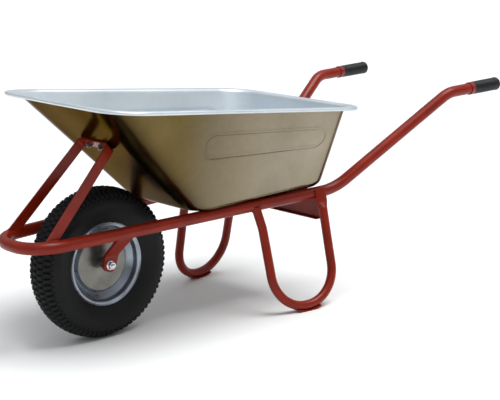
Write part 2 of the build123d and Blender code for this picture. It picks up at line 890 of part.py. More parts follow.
pieces = [
    frame_tube.part,
    left_leg.part,
    mirrored(left_leg.part, "right_leg"),
    left_foot_shoe.part,
    mirrored(left_foot_shoe.part, "right_foot_shoe"),
    left_axle_bracket.part,
    mirrored(left_axle_bracket.part, "right_axle_bracket"),
    axle_bolt.part,
    axle_nut.part,
    axle_washers.part,
    tyre.part,
    inner_tube.part,
    left_rim_half.part,
    right_rim_half.part,
    valve_stem.part,
    valve_cap.part,
    hub_tube.part,
    left_bush,
    right_bush,
    tray.part,
    rim_wire.part,
    front_brace.part,
    cross_panel.part,
    tray_bolts.part,
    tray_washers.part,
    tray_nuts.part,
    left_grip_collar.part,
    mirrored(left_grip_collar.part, "right_grip_collar"),
    left_grip.part,
    mirrored(left_grip.part, "right_grip"),
]

os.makedirs("parts", exist_ok=True)
for piece in pieces:
    export_step(piece, f"parts/{piece.label}.step")
print(f"axle at x = {axle_x:.2f}, foot at {shoe_centre.X:.2f}, {shoe_centre.Y:.2f}")
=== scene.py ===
import bpy
import math
from mathutils import Matrix, Vector
from mathutils.bvhtree import BVHTree


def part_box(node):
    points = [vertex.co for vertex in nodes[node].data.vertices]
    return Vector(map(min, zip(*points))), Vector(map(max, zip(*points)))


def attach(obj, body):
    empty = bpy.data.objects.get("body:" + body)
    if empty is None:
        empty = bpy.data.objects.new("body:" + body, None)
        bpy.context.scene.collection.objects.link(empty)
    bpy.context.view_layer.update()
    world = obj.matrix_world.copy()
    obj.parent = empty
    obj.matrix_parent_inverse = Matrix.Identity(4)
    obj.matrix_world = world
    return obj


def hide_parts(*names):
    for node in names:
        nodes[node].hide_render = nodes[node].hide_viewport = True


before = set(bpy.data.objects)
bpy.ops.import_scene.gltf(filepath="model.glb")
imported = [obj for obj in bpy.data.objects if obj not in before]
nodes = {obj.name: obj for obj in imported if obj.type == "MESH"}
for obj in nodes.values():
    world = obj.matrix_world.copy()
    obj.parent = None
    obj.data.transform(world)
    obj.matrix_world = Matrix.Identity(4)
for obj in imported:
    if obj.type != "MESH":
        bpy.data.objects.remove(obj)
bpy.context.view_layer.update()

mm = 0.001
print("stage 1: packed frame loaded")


def middle(node):
    low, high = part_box(node)
    return (low + high) / 2


# colours and shader nodes

def linearColour(hexText):
    channels = []
    for start in (0, 2, 4):
        value = int(hexText[start:start + 2], 16) / 255
        channels.append(value / 12.92 if value <= 0.04045 else ((value + 0.055) / 1.055) ** 2.4)
    return (*channels, 1.0)


def addNode(tree, kind, inputs=None, **settings):  # an input is a value, or an output socket to link from
    node = tree.nodes.new(kind)
    for name, value in settings.items():
        setattr(node, name, value)
    for socket, value in (inputs or {}).items():
        if isinstance(value, bpy.types.NodeSocket):
            tree.links.new(value, node.inputs[socket])
        else:
            node.inputs[socket].default_value = value
    return node


def startMaterial(name, colour, metallic, roughness, ior=None):
    material = bpy.data.materials.new(name)
    material.use_nodes = True
    tree = material.node_tree
    shader = tree.nodes["Principled BSDF"]
    shader.inputs["Base Color"].default_value = linearColour(colour)
    shader.inputs["Metallic"].default_value = metallic
    shader.inputs["Roughness"].default_value = roughness
    if ior:
        shader.inputs["IOR"].default_value = ior
    place = addNode(tree, "ShaderNodeTexCoord").outputs["Object"]
    return material, tree, shader, place


powderCoat = {
    "dark": "5f1005", "light": "98250b", "cloud": 70 * mm, "orangePeel": 1.6 * mm, "peelDepth": 0.05 * mm,
    "handling": 14 * mm, "smooth": 0.24, "rough": 0.42, "level": 0.24, "gloss": 0.06, "glossRoughness": 0.18,
}


# polyester powder coat, sprayed and baked: an even satin red with faint orange peel
def redPowderCoat():
    p = powderCoat
    material, tree, shader, place = startMaterial("redPowderCoat", p["light"], 0.0, 0.32, 1.5)
    cloud = addNode(
        tree, "ShaderNodeTexNoise", {"Vector": place, "Scale": 1 / p["cloud"], "Detail": 4.0},
    )
    colour = addNode(
        tree, "ShaderNodeMix",
        {"Factor": cloud.outputs["Fac"], 6: linearColour(p["dark"]), 7: linearColour(p["light"])},
        data_type="RGBA",
    )
    tree.links.new(colour.outputs[2], shader.inputs["Base Color"])
    rubbed = addNode(tree, "ShaderNodeTexNoise", {"Vector": place, "Scale": 1 / p["handling"]})
    dull = addNode(
        tree, "ShaderNodeMapRange",
        {"Value": rubbed.outputs["Fac"], "To Min": p["smooth"], "To Max": p["rough"]},
    )
    tree.links.new(dull.outputs["Result"], shader.inputs["Roughness"])
    peel = addNode(tree, "ShaderNodeTexNoise", {"Vector": place, "Scale": 1 / p["orangePeel"]})
    bump = addNode(tree, "ShaderNodeBump", {"Height": peel.outputs["Fac"], "Distance": p["peelDepth"]})
    tree.links.new(bump.outputs["Normal"], shader.inputs["Normal"])
    shader.inputs["Specular IOR Level"].default_value = p["level"]
    shader.inputs["Coat Weight"].default_value = p["gloss"]
    shader.inputs["Coat Roughness"].default_value = p["glossRoughness"]
    return material


zincSheet = {
    # painted light: the outside colours are a darker, shaded copy and the inside colours a paler, cooler lit
    # copy of one zinc
    "outsideDark": "6a604c", "outsideLight": "aaa18f", "shadedFrontDark": "2c2414", "shadedFrontLight": "7d6b43",
    "insideDark": "c2ccd2", "insideLight": "e6edf1", "edgeTint": "aaa2a0", "spangle": 14 * mm,
    "rollWave": 210 * mm, "waveDepth": 0.6 * mm, "waveStrength": 0.4,
    "frontFrom": 0.19, "frontTo": 0.61, "frontDrift": 0.35,  # metres along X, with the cloud's drift added
    "outsideSpangle": 0.07, "outsideSmooth": 0.12, "outsideRough": 0.26,
    "insideSpangle": 0.10, "insideSmooth": 0.28, "insideRough": 0.5, "insideMetal": 0.62,
}


# hot-dip zinc on drawn steel: a soft mirror; its colour holds painted shade, darker and warmer than the
# inside, and darker and olive towards the front end
def zincOutsideSheet():
    z = zincSheet
    material, tree, shader, place = startMaterial("galvanisedOutside", z["outsideLight"], 1.0, 0.2)
    cloud = addNode(
        tree, "ShaderNodeTexNoise", {"Vector": place, "Scale": 1 / z["rollWave"], "Detail": 3.0},
    ).outputs["Fac"]
    cells = addNode(tree, "ShaderNodeTexVoronoi", {"Vector": place, "Scale": 1 / z["spangle"]})
    grain = addNode(
        tree, "ShaderNodeMath", {0: cells.outputs["Color"], 1: z["outsideSpangle"], 2: cloud},
        operation="MULTIPLY_ADD",
    ).outputs[0]
    along = addNode(tree, "ShaderNodeSeparateXYZ", {"Vector": place}).outputs["X"]
    shifted = addNode(
        tree, "ShaderNodeMath", {0: cloud, 1: z["frontDrift"], 2: along}, operation="MULTIPLY_ADD",
    ).outputs[0]
    # painted shade: this mask darkens the outside towards the front end and turns it olive, with the cloud
    # making its edge drift
    paintedFrontShade = addNode(
        tree, "ShaderNodeMapRange",
        {"Value": shifted, "From Min": z["frontFrom"], "From Max": z["frontTo"]},
        interpolation_type="SMOOTHSTEP",
    ).outputs["Result"]
    side = addNode(
        tree, "ShaderNodeMix",
        {"Factor": grain, 6: linearColour(z["outsideDark"]), 7: linearColour(z["outsideLight"])},
        data_type="RGBA",
    ).outputs[2]
    front = addNode(
        tree, "ShaderNodeMix",
        {"Factor": grain, 6: linearColour(z["shadedFrontDark"]), 7: linearColour(z["shadedFrontLight"])},
        data_type="RGBA",
    ).outputs[2]
    colour = addNode(tree, "ShaderNodeMix", {"Factor": paintedFrontShade, 6: side, 7: front}, data_type="RGBA")
    tree.links.new(colour.outputs[2], shader.inputs["Base Color"])
    shader.inputs["Specular Tint"].default_value = linearColour(z["edgeTint"])
    dull = addNode(
        tree, "ShaderNodeMapRange",
        {"Value": grain, "To Min": z["outsideSmooth"], "To Max": z["outsideRough"]},
    )
    tree.links.new(dull.outputs["Result"], shader.inputs["Roughness"])
    bump = addNode(
        tree, "ShaderNodeBump", {"Height": cloud, "Distance": z["waveDepth"], "Strength": z["waveStrength"]},
    )
    tree.links.new(bump.outputs["Normal"], shader.inputs["Normal"])
    return material


# the same sheet inside, painted paler and cooler than the outside as a painted reflection of the overhead
# light, and made less mirror-like
def zincInsideSheet():
    z = zincSheet
    material, tree, shader, place = startMaterial("galvanisedInside", z["insideLight"], z["insideMetal"], 0.4)
    cloud = addNode(
        tree, "ShaderNodeTexNoise", {"Vector": place, "Scale": 1 / z["rollWave"], "Detail": 5.0},
    ).outputs["Fac"]
    cells = addNode(tree, "ShaderNodeTexVoronoi", {"Vector": place, "Scale": 1 / z["spangle"]})
    grain = addNode(
        tree, "ShaderNodeMath", {0: cells.outputs["Color"], 1: z["insideSpangle"], 2: cloud},
        operation="MULTIPLY_ADD",
    ).outputs[0]
    colour = addNode(
        tree, "ShaderNodeMix",
        {"Factor": grain, 6: linearColour(z["insideDark"]), 7: linearColour(z["insideLight"])},
        data_type="RGBA",
    )
    tree.links.new(colour.outputs[2], shader.inputs["Base Color"])
    dull = addNode(
        tree, "ShaderNodeMapRange",
        {"Value": grain, "To Min": z["insideSmooth"], "To Max": z["insideRough"]},
    )
    tree.links.new(dull.outputs["Result"], shader.inputs["Roughness"])
    return material


plating = {
    "bright": {"dark": "b3b6b8", "light": "eef0f1", "smooth": 0.14, "rough": 0.32},
    # the second tone below is painted shade: a darker copy of the same zinc plating, for the tray's fasteners
    # in the shade under the front brace
    "shadedTone": {"dark": "4c4a48", "light": "8d8c8a", "smooth": 0.34, "rough": 0.52},
    "lines": 0.6 * mm, "cloud": 9 * mm,  # the real turning lines are about 0.1 mm, too fine to show
}


# electroplated zinc on turned and pressed fasteners: slightly blue, with fine lines
def zincPlating(name, tone):
    material, tree, shader, place = startMaterial(name, tone["light"], 1.0, tone["smooth"])
    lines = addNode(
        tree, "ShaderNodeTexNoise", {"Vector": place, "Scale": 1 / plating["lines"], "Detail": 3.0},
    )
    dull = addNode(
        tree, "ShaderNodeMapRange",
        {"Value": lines.outputs["Fac"], "To Min": tone["smooth"], "To Max": tone["rough"]},
    )
    tree.links.new(dull.outputs["Result"], shader.inputs["Roughness"])
    cloud = addNode(tree, "ShaderNodeTexNoise", {"Vector": place, "Scale": 1 / plating["cloud"]})
    colour = addNode(
        tree, "ShaderNodeMix",
        {"Factor": cloud.outputs["Fac"], 6: linearColour(tone["dark"]), 7: linearColour(tone["light"])},
        data_type="RGBA",
    )
    tree.links.new(colour.outputs[2], shader.inputs["Base Color"])
    return material


rimPaint = {
    "base": "8f9296", "shadedDishDark": "4b4945", "shadedDishLight": "93918b",
    "highlitRingDark": "666d76", "highlitRingLight": "adb5c0", "dishFrom": 72 * mm, "dishTo": 82 * mm,
    "cloud": 45 * mm, "smooth": 0.2, "rough": 0.4,
    "flake": 1.2 * mm, "flakeDepth": 0.03 * mm, "flakeStrength": 0.7,  # real flakes are too fine to show
}


# aluminium-flake lacquer on pressed steel: the outer ring painted lighter and blue-grey as a painted
# highlight, the dish painted darker and browner as painted shade
def silverLacquer():
    r = rimPaint
    material, tree, shader, place = startMaterial("silverLacquer", r["base"], 0.85, 0.3)
    fromAxle = addNode(tree, "ShaderNodeVectorMath", {0: place, 1: middle("tyre")}, operation="SUBTRACT")
    flat = addNode(
        tree, "ShaderNodeVectorMath", {0: fromAxle.outputs["Vector"], 1: (1, 0, 1)}, operation="MULTIPLY",
    )
    radius = addNode(tree, "ShaderNodeVectorMath", {0: flat.outputs["Vector"]}, operation="LENGTH")
    # painted shade and painted highlight: inside dishFrom the dish is painted darker and browner, outside
    # dishTo the outer ring lighter and blue-grey
    outer = addNode(
        tree, "ShaderNodeMapRange",
        {"Value": radius.outputs["Value"], "From Min": r["dishFrom"], "From Max": r["dishTo"]},
    ).outputs["Result"]
    cloud = addNode(
        tree, "ShaderNodeTexNoise", {"Vector": place, "Scale": 1 / r["cloud"], "Detail": 4.0},
    ).outputs["Fac"]
    shadedDish = addNode(
        tree, "ShaderNodeMix",
        {"Factor": cloud, 6: linearColour(r["shadedDishDark"]), 7: linearColour(r["shadedDishLight"])},
        data_type="RGBA",
    ).outputs[2]
    ring = addNode(
        tree, "ShaderNodeMix",
        {"Factor": cloud, 6: linearColour(r["highlitRingDark"]), 7: linearColour(r["highlitRingLight"])},
        data_type="RGBA",
    ).outputs[2]
    colour = addNode(tree, "ShaderNodeMix", {"Factor": outer, 6: shadedDish, 7: ring}, data_type="RGBA")
    tree.links.new(colour.outputs[2], shader.inputs["Base Color"])
    dull = addNode(
        tree, "ShaderNodeMapRange", {"Value": cloud, "To Min": r["smooth"], "To Max": r["rough"]},
    )
    tree.links.new(dull.outputs["Result"], shader.inputs["Roughness"])
    flake = addNode(tree, "ShaderNodeTexNoise", {"Vector": place, "Scale": 1 / r["flake"]})
    bump = addNode(
        tree, "ShaderNodeBump",
        {"Height": flake.outputs["Fac"], "Distance": r["flakeDepth"], "Strength": r["flakeStrength"]},
    )
    tree.links.new(bump.outputs["Normal"], shader.inputs["Normal"])
    return material


tyreCompound = {
    "base": "131415", "dark": "030304", "light": "141517", "bloom": 60 * mm, "smooth": 0.42, "rough": 0.66,
    "grain": 0.9 * mm, "grainDepth": 0.1 * mm, "grainStrength": 0.7,  # coarser than the mould's own grain
    "level": 0.2,
}


# carbon-black tyre compound, vulcanised in a steel mould: dull black with a faint bloom
def mouldedRubber():
    c = tyreCompound
    material, tree, shader, place = startMaterial("mouldedTyreRubber", c["base"], 0.0, 0.6, 1.52)
    bloom = addNode(
        tree, "ShaderNodeTexNoise", {"Vector": place, "Scale": 1 / c["bloom"], "Detail": 5.0},
    ).outputs["Fac"]
    colour = addNode(
        tree, "ShaderNodeMix", {"Factor": bloom, 6: linearColour(c["dark"]), 7: linearColour(c["light"])},
        data_type="RGBA",
    )
    tree.links.new(colour.outputs[2], shader.inputs["Base Color"])
    dull = addNode(
        tree, "ShaderNodeMapRange", {"Value": bloom, "To Min": c["smooth"], "To Max": c["rough"]},
    )
    tree.links.new(dull.outputs["Result"], shader.inputs["Roughness"])
    grain = addNode(
        tree, "ShaderNodeTexNoise", {"Vector": place, "Scale": 1 / c["grain"], "Detail": 3.0},
    )
    bump = addNode(
        tree, "ShaderNodeBump",
        {"Height": grain.outputs["Fac"], "Distance": c["grainDepth"], "Strength": c["grainStrength"]},
    )
    tree.links.new(bump.outputs["Normal"], shader.inputs["Normal"])
    shader.inputs["Specular IOR Level"].default_value = c["level"]
    return material


gripSleeve = {
    "base": "1a1a1c", "dark": "060607", "light": "161618", "worn": 25 * mm, "smooth": 0.38, "rough": 0.6,
    "grain": 0.8 * mm, "grainDepth": 0.08 * mm, "grainStrength": 0.8,  # coarser than the real matt skin
    "level": 0.3,
}


# soft PVC sleeve, dip moulded: near-black with a matt grain
def gripPlastic():
    g = gripSleeve
    material, tree, shader, place = startMaterial("softPvcGrip", g["base"], 0.0, 0.5, 1.53)
    grain = addNode(
        tree, "ShaderNodeTexNoise", {"Vector": place, "Scale": 1 / g["grain"], "Detail": 3.0},
    ).outputs["Fac"]
    dull = addNode(
        tree, "ShaderNodeMapRange", {"Value": grain, "To Min": g["smooth"], "To Max": g["rough"]},
    )
    tree.links.new(dull.outputs["Result"], shader.inputs["Roughness"])
    worn = addNode(tree, "ShaderNodeTexNoise", {"Vector": place, "Scale": 1 / g["worn"]})
    colour = addNode(
        tree, "ShaderNodeMix",
        {"Factor": worn.outputs["Fac"], 6: linearColour(g["dark"]), 7: linearColour(g["light"])},
        data_type="RGBA",
    )
    tree.links.new(colour.outputs[2], shader.inputs["Base Color"])
    bump = addNode(
        tree, "ShaderNodeBump",
        {"Height": grain, "Distance": g["grainDepth"], "Strength": g["grainStrength"]},
    )
    tree.links.new(bump.outputs["Normal"], shader.inputs["Normal"])
    shader.inputs["Specular IOR Level"].default_value = g["level"]
    return material


collarRing = {"base": "7a170f", "dark": "5c0f09", "light": "8c2016", "cloud": 12 * mm}


# injection moulded polyethylene ring: even red with a slightly waxy gloss
def collarPlastic():
    c = collarRing
    material, tree, shader, place = startMaterial("redPolyethylene", c["base"], 0.0, 0.36, 1.51)
    cloud = addNode(tree, "ShaderNodeTexNoise", {"Vector": place, "Scale": 1 / c["cloud"]})
    colour = addNode(
        tree, "ShaderNodeMix",
        {"Factor": cloud.outputs["Fac"], 6: linearColour(c["dark"]), 7: linearColour(c["light"])},
        data_type="RGBA",
    )
    tree.links.new(colour.outputs[2], shader.inputs["Base Color"])
    return material


bushNylon = {"base": "1a1a1b", "grain": 2 * mm, "smooth": 0.3, "rough": 0.5}


# moulded nylon bushes: dark, slightly glossy
def blackNylon():
    b = bushNylon
    material, tree, shader, place = startMaterial("blackNylon", b["base"], 0.0, 0.4, 1.53)
    grain = addNode(tree, "ShaderNodeTexNoise", {"Vector": place, "Scale": 1 / b["grain"]})
    dull = addNode(
        tree, "ShaderNodeMapRange",
        {"Value": grain.outputs["Fac"], "To Min": b["smooth"], "To Max": b["rough"]},
    )
    tree.links.new(dull.outputs["Result"], shader.inputs["Roughness"])
    return material


stemBrass = {"base": "b08d4c", "grain": 1 * mm, "smooth": 0.26, "rough": 0.42}


# turned brass valve stem: warm and dulled
def turnedBrass():
    b = stemBrass
    material, tree, shader, place = startMaterial("turnedBrass", b["base"], 1.0, 0.32)
    grain = addNode(tree, "ShaderNodeTexNoise", {"Vector": place, "Scale": 1 / b["grain"]})
    dull = addNode(
        tree, "ShaderNodeMapRange",
        {"Value": grain.outputs["Fac"], "To Min": b["smooth"], "To Max": b["rough"]},
    )
    tree.links.new(dull.outputs["Result"], shader.inputs["Roughness"])
    return material


red = redPowderCoat()
zincOutside = zincOutsideSheet()
zincInside = zincInsideSheet()
plate = zincPlating("brightZincPlate", plating["bright"])
# the tray's fasteners get the darker copy of the plating, as painted shade
shadedPlate = zincPlating("shadedZincPlate", plating["shadedTone"])
lacquer = silverLacquer()
rubber = mouldedRubber()
gripBlack = gripPlastic()
collarRed = collarPlastic()
nylon = blackNylon()
brass = turnedBrass()

finishes = {
    red: ["frame_tube", "left_leg", "right_leg", "left_foot_shoe", "right_foot_shoe", "cross_panel",
          "front_brace", "left_axle_bracket", "right_axle_bracket"],
    zincInside: ["rim_wire", "tray"],
    plate: ["axle_bolt", "axle_nut", "axle_washers"],
    shadedPlate: ["tray_bolts", "tray_washers", "tray_nuts"],
    lacquer: ["left_rim_half", "right_rim_half", "hub_tube"],
    rubber: ["tyre", "inner_tube"],
    gripBlack: ["left_grip", "right_grip", "valve_cap"],
    collarRed: ["left_grip_collar", "right_grip_collar"],
    nylon: ["left_bush", "right_bush"],
    brass: ["valve_stem"],
}
for material, names in finishes.items():
    for name in names:
        nodes[name].data.materials.clear()
        nodes[name].data.materials.append(material)
print("stage 2: finishes made")


# mesh helpers

def makePiece(name, vertices, faces, materials, body, slot, replaced=(), smooth=True):
    mesh = bpy.data.meshes.new(name)
    mesh.from_pydata([tuple(v) for v in vertices], [], faces)
    mesh.update()
    piece = bpy.data.objects.new(name, mesh)
    bpy.context.scene.collection.objects.link(piece)
    for material in materials:
        mesh.materials.append(material)
    for face in mesh.polygons:
        face.use_smooth = smooth
    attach(piece, body)
    if replaced:
        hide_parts(*replaced)
    return piece


def gridFaces(rows, columns):  # each row is a closed ring of points
    faces = []
    for r in range(rows - 1):
        for c in range(columns):
            after = (c + 1) % columns
            here = r * columns
            above = here + columns
            faces.append((here + c, here + after, above + after, above + c))
    return faces


def endCaps(count, sides):  # the flat ends of a stack of rings
    return [tuple(range(sides - 1, -1, -1)), tuple(range(count - sides, count))]


def smoothLine(points, perSpan):  # a Catmull-Rom line through flat points
    line = []
    ends = [points[0] * 2 - points[1], *points, points[-1] * 2 - points[-2]]
    for i in range(1, len(ends) - 2):
        a, b, c, d = ends[i - 1:i + 3]
        for k in range(perSpan):
            t = k / perSpan
            line.append(0.5 * (2 * b + (c - a) * t + (2 * a - 5 * b + 4 * c - d) * t * t
                               + (3 * b - a - 3 * c + d) * t * t * t))
    line.append(points[-1])
    return line


def ease(value):
    value = min(max(value, 0.0), 1.0)
    return value * value * (3 - 2 * value)


# tyre: a carcass with staggered tread blocks

tyreShape = {
    "crown": ((0, 0), (10, 0.7), (20, 2.8)),  # mm out from the middle, and down from the tread
    "shoulder": (0.6, 6.6),  # share of the half width, and mm down
    "side": ((11, 13.5), (5, 24), (0.8, 38), (0.4, 50), (5.5, 68)),  # mm in from the side, and down
    "bead": ((13, 5), (15.4, 0.4)),  # mm in from the side, and up from the rim's seat
    "underRim": ((18.6, -1), (19, -9)),
    "perSpan": 5,
    "lugsAround": 76, "steps": (0.0, 0.13, 0.19, 0.31, 0.37, 0.5, 0.63, 0.69, 0.81, 0.87),
    "slotHalf": 0.15, "slotEdge": 0.07,  # shares of one lug's pitch
    "grooveDepth": 6.5 * mm, "grooveHalf": 1.2 * mm, "grooveEdge": 1.0 * mm,
    "grooves": (9.0 * mm, 27.0 * mm), "shoulderRow": 43.0 * mm,
    "treadEnd": 34 * mm, "fadeFrom": 17 * mm, "fade": 12 * mm,  # down from the tread
    "ringHeight": 0.7 * mm, "ringAt": (124 * mm, 163 * mm), "ringWidth": 2.0 * mm,
}


# the outline from one hidden edge to the other, its middle point, and how far the carcass reaches from there
def tyreSection(radius, half, seat):
    t = tyreShape
    share, down = t["shoulder"]
    outer = [Vector((x * mm, radius - y * mm)) for x, y in t["crown"]]
    outer.append(Vector((half * share, radius - down * mm)))
    outer += [Vector((half - x * mm, radius - y * mm)) for x, y in t["side"]]
    outer += [Vector((half - x * mm, seat + y * mm)) for x, y in t["bead"]]
    profile = smoothLine(outer, t["perSpan"])
    crown = len(profile)
    profile += [Vector((half - x * mm, seat + y * mm)) for x, y in t["underRim"]]
    return [Vector((-p.x, p.y)) for p in reversed(profile)] + profile[1:], len(profile) - 1, crown


def treadCut(across, down, step):  # how deep the tread is cut at a point
    t = tyreShape
    row = sum(across > edge for edge in (*t["grooves"], t["shoulderRow"]))
    phase = (step + 0.5 * (row % 2)) % 1.0
    cut = 1 - ease((min(phase, 1 - phase) - t["slotHalf"]) / t["slotEdge"])
    gap = min(abs(across - groove) for groove in t["grooves"])
    cut = max(cut, 1 - ease((gap - t["grooveHalf"]) / t["grooveEdge"]))
    return t["grooveDepth"] * cut * (1 - ease((down - t["fadeFrom"]) / t["fade"]))


def makeTyre():
    t = tyreShape
    low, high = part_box("tyre")
    axle = (low + high) / 2
    radius = (high.z - low.z) / 2
    half = (high.y - low.y) / 2
    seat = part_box("left_rim_half")[1].z - axle.z
    section, centre, crown = tyreSection(radius, half, seat)
    vertices = []
    for i, point in enumerate(section):
        ahead = section[min(i + 1, len(section) - 1)]
        behind = section[max(i - 1, 0)]
        along = (ahead - behind).normalized()
        normal = Vector((-along.y, along.x))
        isCarcass = abs(i - centre) < crown
        down = radius - point.y
        ring = sum(t["ringHeight"] * (1 - ease(abs(point.y - at) / t["ringWidth"])) for at in t["ringAt"])
        for lug in range(t["lugsAround"]):
            for step in t["steps"]:
                angle = math.tau * (lug + step) / t["lugsAround"]
                isTread = isCarcass and down < t["treadEnd"]
                inwards = treadCut(abs(point.x), down, step) if isTread else 0.0
                y = point.x - normal.x * (inwards - ring * isCarcass)
                r = point.y - normal.y * (inwards - ring * isCarcass)
                vertices.append(axle + Vector((r * math.cos(angle), y, r * math.sin(angle))))
    faces = gridFaces(len(section), t["lugsAround"] * len(t["steps"]))
    makePiece("treadedTyre", vertices, faces, [rubber], "wheel", "tyre_rubber", ["tyre"])


makeTyre()
print("stage 3: tyre made")


# tray: a pressed shell with rounded bottom, walls, ledge and rolled edge

# millimetres from the tray's own box and rim plane, apart from floorTilt (a slope), ledgeShare (a share of
# the ledge's width) and waveAlong and waveAcross (radians to the millimetre)
trayShape = {
    "sheet": 1.0, "bead": 4.6, "floorRear": 63.0, "floorFront": 527.0, "floorTilt": 0.0094,
    "floorHalfFront": 160.0, "floorHalfRear": 170.0, "floorCorner": 62.0, "floorBlend": 22.5,
    "halfFront": 281.0, "halfRear": 272.0, "cornerFront": 101.0, "cornerRear": 84.0,
    "wallCornerFront": 128.0, "wallCornerRear": 76.0, "ledgeFront": 8.0, "ledgeSide": 22.0,
    "ledgeRear": 24.0, "ledgeBlend": 9.0, "ledgeShare": 0.6, "rearDrop": 98.85,
    "wave": 0.8, "waveAlong": 0.011, "waveAcross": 0.013, "waveFrom": 120, "waveRamp": 60,
}
trayLines = {  # how finely the shell is divided
    "front": 40, "corner": 24, "side": 150, "rear": 44, "floor": 10, "blend": 7, "wall": 64,
    "bead": 15, "beadStep": 19, "firstRing": 0.06,
}
blankPlate = {  # millimetres, apart from the two shares
    "startShare": 0.147, "length": 420.0, "height": 74.0, "centreShare": 0.64, "wallHeight": 290,
    "ridge": 8.0, "rise": 3.4, "sideFrom": 100,
}


def roundedOutline(front, rear, halfFront, halfRear, cornerFront, cornerRear):
    slope = (halfFront - halfRear) / (front - rear)
    lean = math.atan2(halfFront - halfRear, front - rear)
    points = []

    def arc(cx, cy, radius, start, end):
        for k in range(trayLines["corner"]):
            angle = start + (end - start) * k / trayLines["corner"]
            points.append(Vector((cx + radius * math.cos(angle), cy + radius * math.sin(angle))))

    def run(a, b, count):
        for k in range(count):
            points.append(a.lerp(b, k / count))

    frontX = front - cornerFront
    rearX = rear + cornerRear
    frontY = halfRear + slope * (frontX - rear) - cornerFront / math.cos(lean)
    rearY = halfRear + slope * (rearX - rear) - cornerRear / math.cos(lean)
    quarter = math.pi / 2
    leftward = Vector((math.cos(quarter + lean), math.sin(quarter + lean)))
    rightward = Vector((leftward.x, -leftward.y))
    frontLeft = Vector((frontX, frontY)) + leftward * cornerFront
    rearLeft = Vector((rearX, rearY)) + leftward * cornerRear
    rearRight = Vector((rearX, -rearY)) + rightward * cornerRear
    frontRight = Vector((frontX, -frontY)) + rightward * cornerFront
    run(Vector((front, -frontY)), Vector((front, frontY)), trayLines["front"])
    arc(frontX, frontY, cornerFront, 0, quarter + lean)
    run(frontLeft, rearLeft, trayLines["side"])
    arc(rearX, rearY, cornerRear, quarter + lean, math.pi)
    run(Vector((rear, rearY)), Vector((rear, -rearY)), trayLines["rear"])
    arc(rearX, -rearY, cornerRear, math.pi, 2 * math.pi - quarter - lean)
    run(rearRight, frontRight, trayLines["side"])
    arc(frontX, -frontY, cornerFront, 2 * math.pi - quarter - lean, 2 * math.pi)
    return points


def roundCorner(start, corner, stop):  # a quadratic curve from start to stop that turns at the corner
    line = []
    for k in range(trayLines["blend"]):
        s = k / trayLines["blend"]
        line.append(start * (1 - s) ** 2 + corner * 2 * s * (1 - s) + stop * s * s)
    return line


def floorPoint(x, y):
    t = trayShape
    return Vector((x, y, (t["floorFront"] - t["bead"] - x) * t["floorTilt"]))


def trayLine(base, wallTop, edge, up):  # from the middle of the floor, up the wall and round the rolled edge
    t = trayShape
    middleX = (t["floorRear"] + t["floorFront"]) / 2 - t["bead"]
    edge = edge - up * t["sheet"]
    inwards = (Vector((middleX, 0, 0)) - base).normalized()
    inwards.z = 0
    climb = (wallTop - base).normalized()
    wallTop = wallTop - climb * (t["sheet"] / climb.dot(up))
    out = (edge - wallTop).normalized()
    turn = min(t["ledgeBlend"], (edge - wallTop).length * t["ledgeShare"])
    foot = base + inwards * t["floorBlend"]
    foot = floorPoint(foot.x, foot.y)
    core = floorPoint(middleX, 0)
    start = base + climb * t["floorBlend"]
    stop = wallTop - climb * turn
    firstRing = trayLines["firstRing"]
    line = []
    for k in range(trayLines["floor"]):
        line.append(core.lerp(foot, firstRing + (1 - firstRing) * k / trayLines["floor"]))
    line += roundCorner(foot, base, start)
    for k in range(trayLines["wall"]):
        line.append(start.lerp(stop, k / trayLines["wall"]))
    line += roundCorner(stop, wallTop, wallTop + out * turn)
    line.append(wallTop + out * turn)
    beadRadius = t["bead"] - t["sheet"]
    for k in range(trayLines["bead"]):
        angle = math.radians(90 - trayLines["beadStep"] * k)
        line.append(edge - up * beadRadius + (out * math.cos(angle) + up * math.sin(angle)) * beadRadius)
    return line


def pressWalls(rings, length):  # a slight wave in the side walls, and a plain raised outline on each
    t = trayShape
    b = blankPlate
    count = len(rings[0])
    first = trayLines["floor"] + trayLines["blend"]
    pressed = {}
    for r in range(first, first + trayLines["wall"]):
        s = (r - first) / trayLines["wall"]
        for i in range(count):
            p = rings[r][i]
            around = rings[r][(i + 1) % count] - rings[r][i - 1]
            climb = rings[r + 1][i] - rings[r - 1][i]
            normal = around.cross(climb).normalized()
            lift = 0.0
            if abs(p.y) > b["sideFrom"]:
                u = p.x - (length * b["startShare"] + b["length"] / 2)
                v = (s - b["centreShare"]) * b["wallHeight"]
                overhang = max(abs(u) - (b["length"] / 2 - b["height"] / 2), 0)
                distance = abs(math.hypot(overhang, v) - b["height"] / 2)
                lift = b["rise"] * (1 - ease(distance / b["ridge"]))
            onSide = ease((abs(p.y) - t["waveFrom"]) / t["waveRamp"])
            ripple = math.sin(math.pi * s) * math.sin(p.x * t["waveAlong"] + p.y * t["waveAcross"])
            pressed[r, i] = p + normal * (lift + t["wave"] * onSide * ripple)
    for (r, i), p in pressed.items():
        rings[r][i] = p


